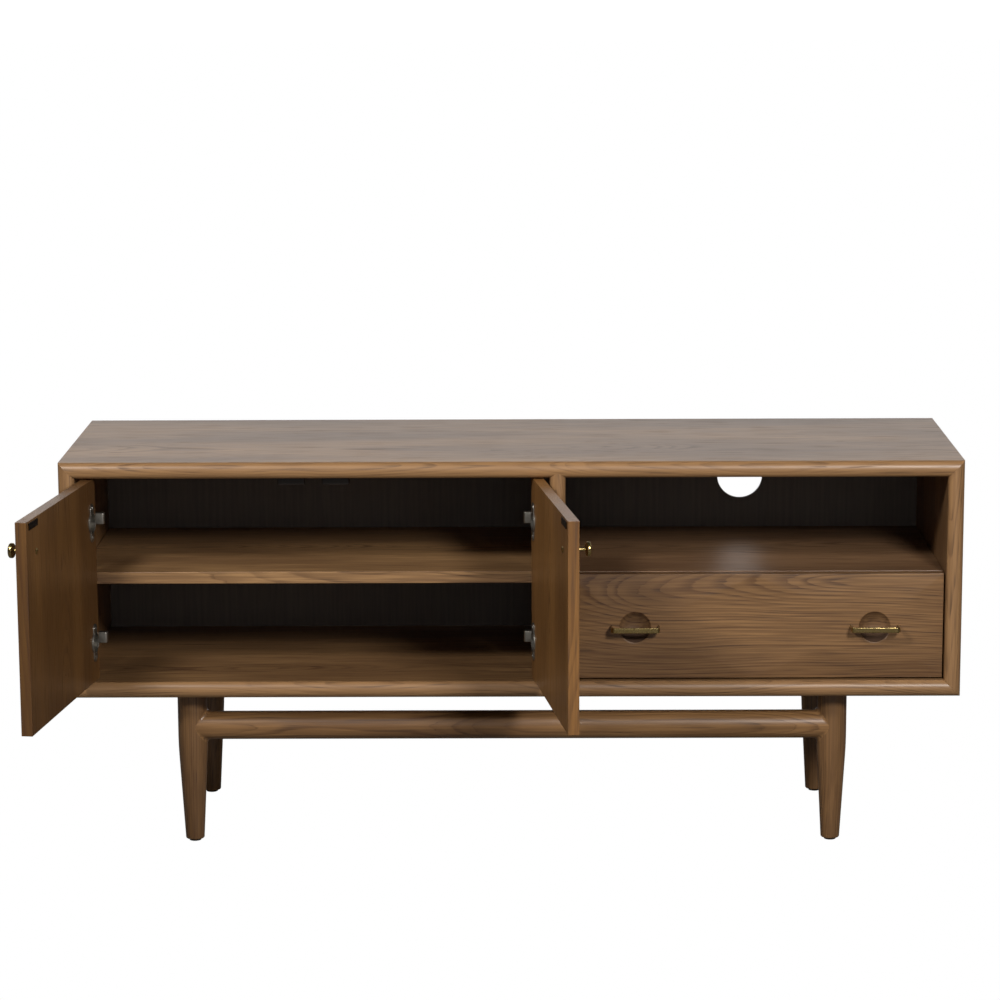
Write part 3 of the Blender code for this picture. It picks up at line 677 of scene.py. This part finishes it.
def hinge_arm(side, level, finish):
    """Cranked arm over a mounting plate, drawn for the left door and mirrored for the right.

    In plan the arm is a hook: it lies along the upright, turns out to the door at its front and
    has rounded corners. Its outline is raised by the arm's height and its rims are eased.
    """
    node = f"hinge_arm_{side}_{level}"
    low, high = span(node)
    way = 1 if side == "left" else -1
    wall = low[0] - GAP if way == 1 else high[0] + GAP
    plate_high = (high[2] - low[2]) / 2
    half = ARM_HIGH / 2
    front, back = low[1], low[1] + ARM_LONG
    reach = high[0] - low[0] + GAP
    hook = np.vstack([[(PLATE_THICK, back), (PLATE_THICK, front + 0.030),
                       (PLATE_THICK + 0.003, front + 0.004)],
                      arc((PLATE_THICK + 0.007, front + 0.004), 0.004, 180, 270, 6),
                      arc((reach - 0.004, front + 0.004), 0.004, 270, 360, 8),
                      arc((reach - 0.003, front + ARM_CRANK - 0.003), 0.003, 0, 90, 6),
                      arc((ARM_LIFT + 0.006, front + ARM_CRANK + 0.006), 0.006, 270, 180, 8),
                      arc((ARM_LIFT - 0.002, back - 0.002), 0.002, 0, 90, 5)])
    hook = np.vstack([hook, hook[:1]])
    arm, arm_caps = eased_slab(hook, -half, half, 0.0014)
    outline = rounded_rectangle(PLATE_LONG, 2 * plate_high, 0.006)
    plate, plate_caps = eased_slab(outline, GAP, PLATE_THICK, 0.0008)
    middle_of_plate = front + PLATE_BACK
    on_wall = Matrix(((0, 0, 1, 0), (1, 0, 0, middle_of_plate), (0, 1, 0, 0), (0, 0, 0, 1)))
    fittings = [plate]
    fittings += [screw_head(0, up * PLATE_SCREW_OUT, PLATE_THICK - 0.0004, 0.0040, 0.0018, 0.3 + up)
                 for up in (-1, 1)]
    fittings += [screw_head(0.013, 0, ARM_LIFT - 0.0006, 0.0040, 0.0016, 0.9),
                 screw_head(-0.006, 0, ARM_LIFT - 0.0006, 0.0032, 0.0014, 0.2)]
    sheets = [arm] + [placed(sheet, on_wall) for sheet in fittings]
    caps = arm_caps + [placed(cap, on_wall) for cap in plate_caps]
    mirror = Matrix.Diagonal((way, 1, 1, 1))
    place = Matrix.Translation((wall, 0, (low[2] + high[2]) / 2)) @ mirror
    piece(f"cranked_arm_{side}_{level}", "case", finish, sheets, caps, (node,),
          place)


def runner(node, name, body, way, finish, lip):
    """Rolled steel channel: an open C in section, drawn along the drawer's travel.

    way is the side it opens to along X, and lip is the depth of its two edges turned inwards.
    """
    low, high = span(node)
    thick = CHANNEL_THICK
    deep, half = high[0] - low[0], (high[2] - low[2]) / 2
    outer = [(0, half), (deep, half), (deep, half - lip), (deep - thick, half - lip),
             (deep - thick, half - thick), (thick, half - thick), (thick, thick - half),
             (deep - thick, thick - half), (deep - thick, lip - half), (deep, lip - half),
             (deep, -half), (0, -half), (0, half)]
    section = np.array(outer)
    x = low[0] if way == 1 else high[0]
    ends = [np.column_stack([x + way * section[:, 0], np.full(len(section), y),
                             (low[2] + high[2]) / 2 + section[:, 1]]) for y in (low[1], high[1])]
    piece(name, body, finish, [np.stack(ends)], [ends[0][:-1], ends[1][:-1]], (node,))


# ---------------------------------------------------------------- base
def leg(where, finish):
    """Straight upper part, straight taper and softly rounded foot, turned about the leg's axis.

    The taper sets in as a parabola: the radius falls by taper * fall ** 2 / (4 * soft), which
    meets the straight part and the straight taper without a corner.
    """
    node = f"leg_{where}"
    low, high = span(node)
    radius = (high[0] - low[0]) / 2
    ease, soft = FOOT_EASE, TAPER_SOFT
    top = np.linspace(high[2] - 0.0005, TAPER_TOP + soft, 12)
    run = np.linspace(1, 0, 40)
    taper = (radius - FOOT_RADIUS) / (TAPER_TOP - low[2])
    start = np.linspace(TAPER_TOP + soft, TAPER_TOP - soft, 12)
    fall = np.clip(TAPER_TOP + soft - start, 0, None)
    shoulder = radius - taper * fall ** 2 / (4 * soft)
    shaft_z = low[2] + ease + run * (TAPER_TOP - soft - low[2] - ease)
    shaft = radius - taper * (TAPER_TOP - shaft_z)
    profile = np.vstack([[(0, high[2]), (radius - 0.0005, high[2])],
                         np.column_stack([np.full_like(top, radius), top]),
                         np.column_stack([shoulder, start])[1:],
                         np.column_stack([shaft, shaft_z])[1:],
                         arc((shaft[-1] - ease, low[2] + ease), ease, 0, -90, 6)[1:],
                         [(0, low[2])]])
    x, y = (low[0] + high[0]) / 2, (low[1] + high[1]) / 2
    piece(f"turned_leg_{where}", "case", finish, [turned(profile)],
          stands_for=(node,), place=Matrix.Translation((x, y, 0)))


def rail(where, finish):
    """Round rail whose ends flow into the legs.

    A ball of the fillet's radius rolls in the corner between rail and leg: its centre is that
    radius away from both, and the fillet is the arc of the ball between its two touching points.
    """
    low, high = span(f"rail_{where}")
    left, right = middle(f"leg_{where}_left"), middle(f"leg_{where}_right")
    post = (span(f"leg_{where}_left")[1] - span(f"leg_{where}_left")[0])[0] / 2
    radius = (high[2] - low[2]) / 2
    centre_z = (low[2] + high[2]) / 2
    ball = JOINT_FILLET
    turn = np.linspace(0, 2 * pi, 97)
    wide, tall = np.sin(turn), np.cos(turn)
    off = (radius + ball) * wide
    out = np.sqrt((post + ball) ** 2 - off ** 2)
    middle_of_ball = np.column_stack([out, off, (radius + ball) * tall])
    on_rail = np.column_stack([out, radius * wide, radius * tall])
    on_leg = middle_of_ball.copy()
    on_leg[:, :2] *= post / (post + ball)
    one, two = (on_leg - middle_of_ball) / ball, (on_rail - middle_of_ball) / ball
    angle = np.arccos(np.clip((one * two).sum(1), -1, 1))[:, None]
    share = np.linspace(0, 1, 13)[:, None, None]
    arcs = (np.sin((1 - share) * angle) * one + np.sin(share * angle) * two) / np.sin(angle)
    fillet = middle_of_ball + ball * arcs
    inside = on_leg * (0.9, 0.9, 1)
    end = np.concatenate([inside[None], fillet])
    half = (right[0] - left[0]) / 2
    first = end + (-half, 0, 0)
    last = end[::-1] * (-1, 1, 1) + (half, 0, 0)
    sheet = np.concatenate([first, last]) + ((left[0] + right[0]) / 2, left[1], centre_z)
    piece(f"round_rail_{where}", "case", finish, [sheet],
          [sheet[0][:-1], sheet[-1][:-1]], (f"rail_{where}",))


# ---------------------------------------------------------------- finishes of the whole stand
def dress(node, finish):
    """Give a CAD node its finish."""
    mesh = frame["nodes"][node].data
    mesh.materials.clear()
    mesh.materials.append(finish)


def build():
    """Every piece with its finish; each board is cut from a log of its own."""
    face_y = span("drawer_front")[0][1]
    # Each oak board's last factor is painted light and shade, lightening or darkening it for how it
    # is lit.
    top = stained_oak("oak_top_board", X_AXIS, Y_AXIS, (CASE_X, 0.10, TOP_HIGH[2]), seed=1.0,
                      pith=0.11, slope=0.03, contrast=0.82, painted_light_scale=(1.28, 1.28, 1.20))
    bottom = stained_oak("oak_bottom_board", X_AXIS, Y_AXIS, (CASE_X, 0.05, BOTTOM_LOW[2]),
                         seed=2.0, pith=0.09, slope=0.04, painted_light_scale=(1.2, 1.25, 1.3))
    left = stained_oak("oak_left_side", Z_AXIS, Y_AXIS, (TOP_LOW[0], 0.1, 0.45), seed=3.0)
    right = stained_oak("oak_right_side", Z_AXIS, Y_AXIS, (TOP_HIGH[0], 0.1, 0.45), seed=4.0)
    upright = stained_oak("oak_divider", Z_AXIS, Y_AXIS, tuple(middle("divider")), seed=5.0)
    case_board("top_board", "case_top", 0, 1, top)
    case_board("bottom_board", "case_bottom", 0, -1, bottom)
    case_board("left_side_board", "case_side_left", 2, -1, left)
    case_board("right_side_board", "case_side_right", 2, 1, right)
    divider_upright(upright)

    face = stained_oak("oak_drawer_front", X_AXIS, Z_AXIS, (CASE_X + 0.59, face_y, 0.455),
                       seed=7.0, pith=0.030, slope=-0.08, ring=5.0)
    drawer_face(face)
    # Painted light: both shelves lightened, the left one much more than the right.
    for side, painted_light_scale in (("left", (1.65, 1.75, 1.85)), ("right", (1.15, 1.20, 1.45))):
        dress(f"shelf_{side}", stained_oak(f"oak_shelf_{side}", X_AXIS, Y_AXIS, (0, 0.2, 0.473),
                                           seed=8.0 + len(side), roughness=0.41, painted_light_scale=painted_light_scale))
    # Painted shade: the left door is made darker than the right one.
    for side, painted_light_scale in (("left", (0.71, 0.63, 0.45)), ("right", (1.04, 0.91, 0.64))):
        wide = door_place(side).to_3x3() @ X_AXIS
        door = stained_oak(f"oak_door_{side}", Z_AXIS, wide, tuple(middle(f"door_{side}")),
                           seed=9.0 + len(side), slope=0.05, pith=0.06, contrast=0.7, painted_light_scale=painted_light_scale)
        dress(f"door_{side}", door)
    # Painted light and shade: the legs a little darker, the rails lighter.
    legs = stained_oak("oak_turned_legs", Z_AXIS, X_AXIS, (0, 0, 0.1), seed=12.0, ring=3.5,
                       pith=0.03, contrast=0.75, painted_light_scale=(0.96, 0.94, 0.92))
    rails = stained_oak("oak_round_rails", X_AXIS, Z_AXIS, (0, 0, 0.2), seed=13.0, ring=3.5,
                        pith=0.055, slope=0.012, contrast=0.8, roughness=0.34,
                        painted_light_scale=(1.14, 1.12, 1.08))
    for where in ("front", "back"):
        rail(where, rails)
        for side in ("left", "right"):
            leg(f"{where}_{side}", legs)

    # Solid brass, drawn and left to age: dull warm gold, rubbed brighter in spots.
    brass = metal("antique_brass", "#B29A66", "#9A8554", 0.23, scratch=(6.0, 40.0, 900.0))
    # Pressed steel, nickel plated: pale grey with a faint brushed line and cloudy marks.
    steel = metal("nickel_plated_steel", "#A5A097", "#8B867D", 0.36)
    # Rolled steel, blackened: nearly black with a low metallic sheen.
    dark = metal("blackened_steel", "#2A231D", "#1F1A16", 0.45)
    # Moulded ABS, matt, with a fine speckle that softens its highlights. Its dark brown is made
    # near black as painted shade, for the shadow that the top board casts on the catches.
    catch = plain("abs_catch_painted_shade", "#1E1612", "#2A2019", 0.50)
    # Moulded nylon: black and duller than the catches.
    nylon = plain("black_nylon_glide", "#1C1C1C", "#262626", 0.60)
    # Hardboard with sprayed dark paint: matt brown-grey with faint upright streaks 6 mm wide.
    board = plain("dark_painted_back_board", "#5A524C", "#665D56", 0.60, (160.0, 160.0, 6.0))
    # Birch plywood, lacquered: pale honey wood with long soft streaks and a gentle shine.
    birch = plain("lacquered_birch_box", "#B99468", "#C4A077", 0.45, (25.0, 25.0, 300.0))
    for side in ("left", "right"):
        strap_pull(f"strap_pull_{side}", f"pull_{side}", brass)
        knob(side, brass)
        dress(f"knob_screw_{side}", brass)
        dress(f"strike_{side}", dark)
        dress(f"catch_{side}", catch)
        way = 1 if side == "left" else -1
        runner(f"runner_case_{side}", f"channel_case_{side}", "case", way, steel, 0.007)
        runner(f"runner_drawer_{side}", f"channel_drawer_{side}", "drawer_body", -way, steel, 0.005)
        dress(f"drawer_side_{side}", birch)
        for level in ("lower", "upper"):
            hinge_cup(side, level, steel)
            hinge_arm(side, level, steel)
        for where in ("front", "rear"):
            dress(f"shelf_pin_{side}_{where}", steel)
        for where in ("front", "back"):
            dress(f"glide_{where}_{side}", nylon)
    dress("drawer_back", birch)
    dress("drawer_bottom", birch)
    dress("back_panel", board)


# ---------------------------------------------------------------- studio
CAMERA_TURN = (0.18682, 0.00767, -0.00425)   # down, to the left and roll, in radians
CAMERA_OUT = 5.4557       # camera in front of the middle of the case
CAMERA_SIDE = 0.022
CAMERA_HIGH = 1.5916
LENS = 115.98


def studio_camera():
    """Long lens in front of the stand and above it, looking slightly down."""
    pitch, yaw, roll = CAMERA_TURN
    data = bpy.data.cameras.new("camera")
    data.lens = LENS
    data.sensor_width = 36
    data.clip_end = 60
    camera = bpy.data.objects.new("camera", data)
    middle_y = (FRONT_Y + BACK_Y) / 2
    spin = Matrix.Rotation(yaw, 4, "Z") @ Matrix.Rotation(pi / 2 - pitch, 4, "X")
    spin = spin @ Matrix.Rotation(roll, 4, "Z")
    place = Matrix.Translation((CASE_X + CAMERA_SIDE, middle_y - CAMERA_OUT, CAMERA_HIGH))
    camera.matrix_world = place @ spin
    bpy.context.scene.collection.objects.link(camera)
    bpy.context.scene.camera = camera


LIGHT_AIM = (0.0, 0.0, 0.45)
KEY_AWAY, KEY_SIZE = 3.2, (0.5, 0.5)     # small boxes, whose shadows have narrow soft edges
FILL_AWAY, FILL_SIZE = 4.5, (1.5, 1.0)


def softbox(name, azimuth, elevation, distance, size, power):
    """Soft area light, azimuth to the right of the front and elevation above the horizon."""
    data = bpy.data.lights.new(name, "AREA")
    data.shape = "RECTANGLE"
    data.size, data.size_y = size
    data.energy = power
    lamp = bpy.data.objects.new(name, data)
    a, e = radians(azimuth), radians(elevation)
    away = Vector((sin(a) * cos(e), -cos(a) * cos(e), sin(e)))
    lamp.location = Vector(LIGHT_AIM) + away * distance
    lamp.rotation_euler = away.to_track_quat("Z", "Y").to_euler()
    bpy.context.scene.collection.objects.link(lamp)


def studio_room(dim, bright):
    """Plain room: white where the camera looks, bright wall behind the stand, dim elsewhere.

    dim and bright are strengths of light. The wall fades in towards the back and out upwards.
    """
    world = bpy.data.worlds.new("studio")
    world.use_nodes = True
    tree = world.node_tree
    back = tree.nodes["Background"]
    back.inputs["Color"].default_value = (1.0, 1.0, 1.0, 1.0)
    way = put(tree, "TexCoord").outputs["Generated"]
    parts = put(tree, "SeparateXYZ", {0: way}).outputs
    behind = remap(tree, parts[1], 0.1, 0.7, 0.0, 1.0)
    low = remap(tree, parts[2], 0.15, 0.55, 1.0, 0.0)
    wall = maths(tree, "MULTIPLY", behind, low)
    seen = put(tree, "LightPath").outputs["Is Camera Ray"]
    level = remap(tree, wall, 0.0, 1.0, dim, bright, smooth=False)
    tree.links.new(maths(tree, "MAXIMUM", level, seen), back.inputs["Strength"])
    bpy.context.scene.world = world

    floor_mesh = bpy.data.meshes.new("floor")
    edge = 30.0
    floor_mesh.from_pydata([(-edge, -edge, 0), (edge, -edge, 0), (edge, edge, 0), (-edge, edge, 0)],
                           [], [(0, 1, 2, 3)])
    floor = bpy.data.objects.new("floor", floor_mesh)
    bpy.context.scene.collection.objects.link(floor)
    # Matt paint: plain white where the camera looks, and mid grey to the light it throws back.
    paint, tree, shader = new_material("pale_floor", 0.8)
    shader.inputs["Base Color"].default_value = tone("#6C6A67")
    glow = put(tree, "Emission", {"Color": (1, 1, 1, 1), "Strength": 1.0})
    seen = put(tree, "LightPath").outputs["Is Camera Ray"]
    mixed = put(tree, "MixShader", {0: seen, 1: shader.outputs[0], 2: glow.outputs[0]})
    tree.links.new(mixed.outputs[0], tree.nodes["Material Output"].inputs["Surface"])
    floor_mesh.materials.append(paint)


build()
studio_camera()
studio_room(dim=0.05, bright=1.40)
softbox("key_right", 26, 27, KEY_AWAY, KEY_SIZE, 61)
softbox("key_left", -37, 39, KEY_AWAY, KEY_SIZE, 53)
softbox("fill_front", 0, 10, FILL_AWAY, FILL_SIZE, 6)
bpy.context.scene.view_settings.view_transform = "Standard"
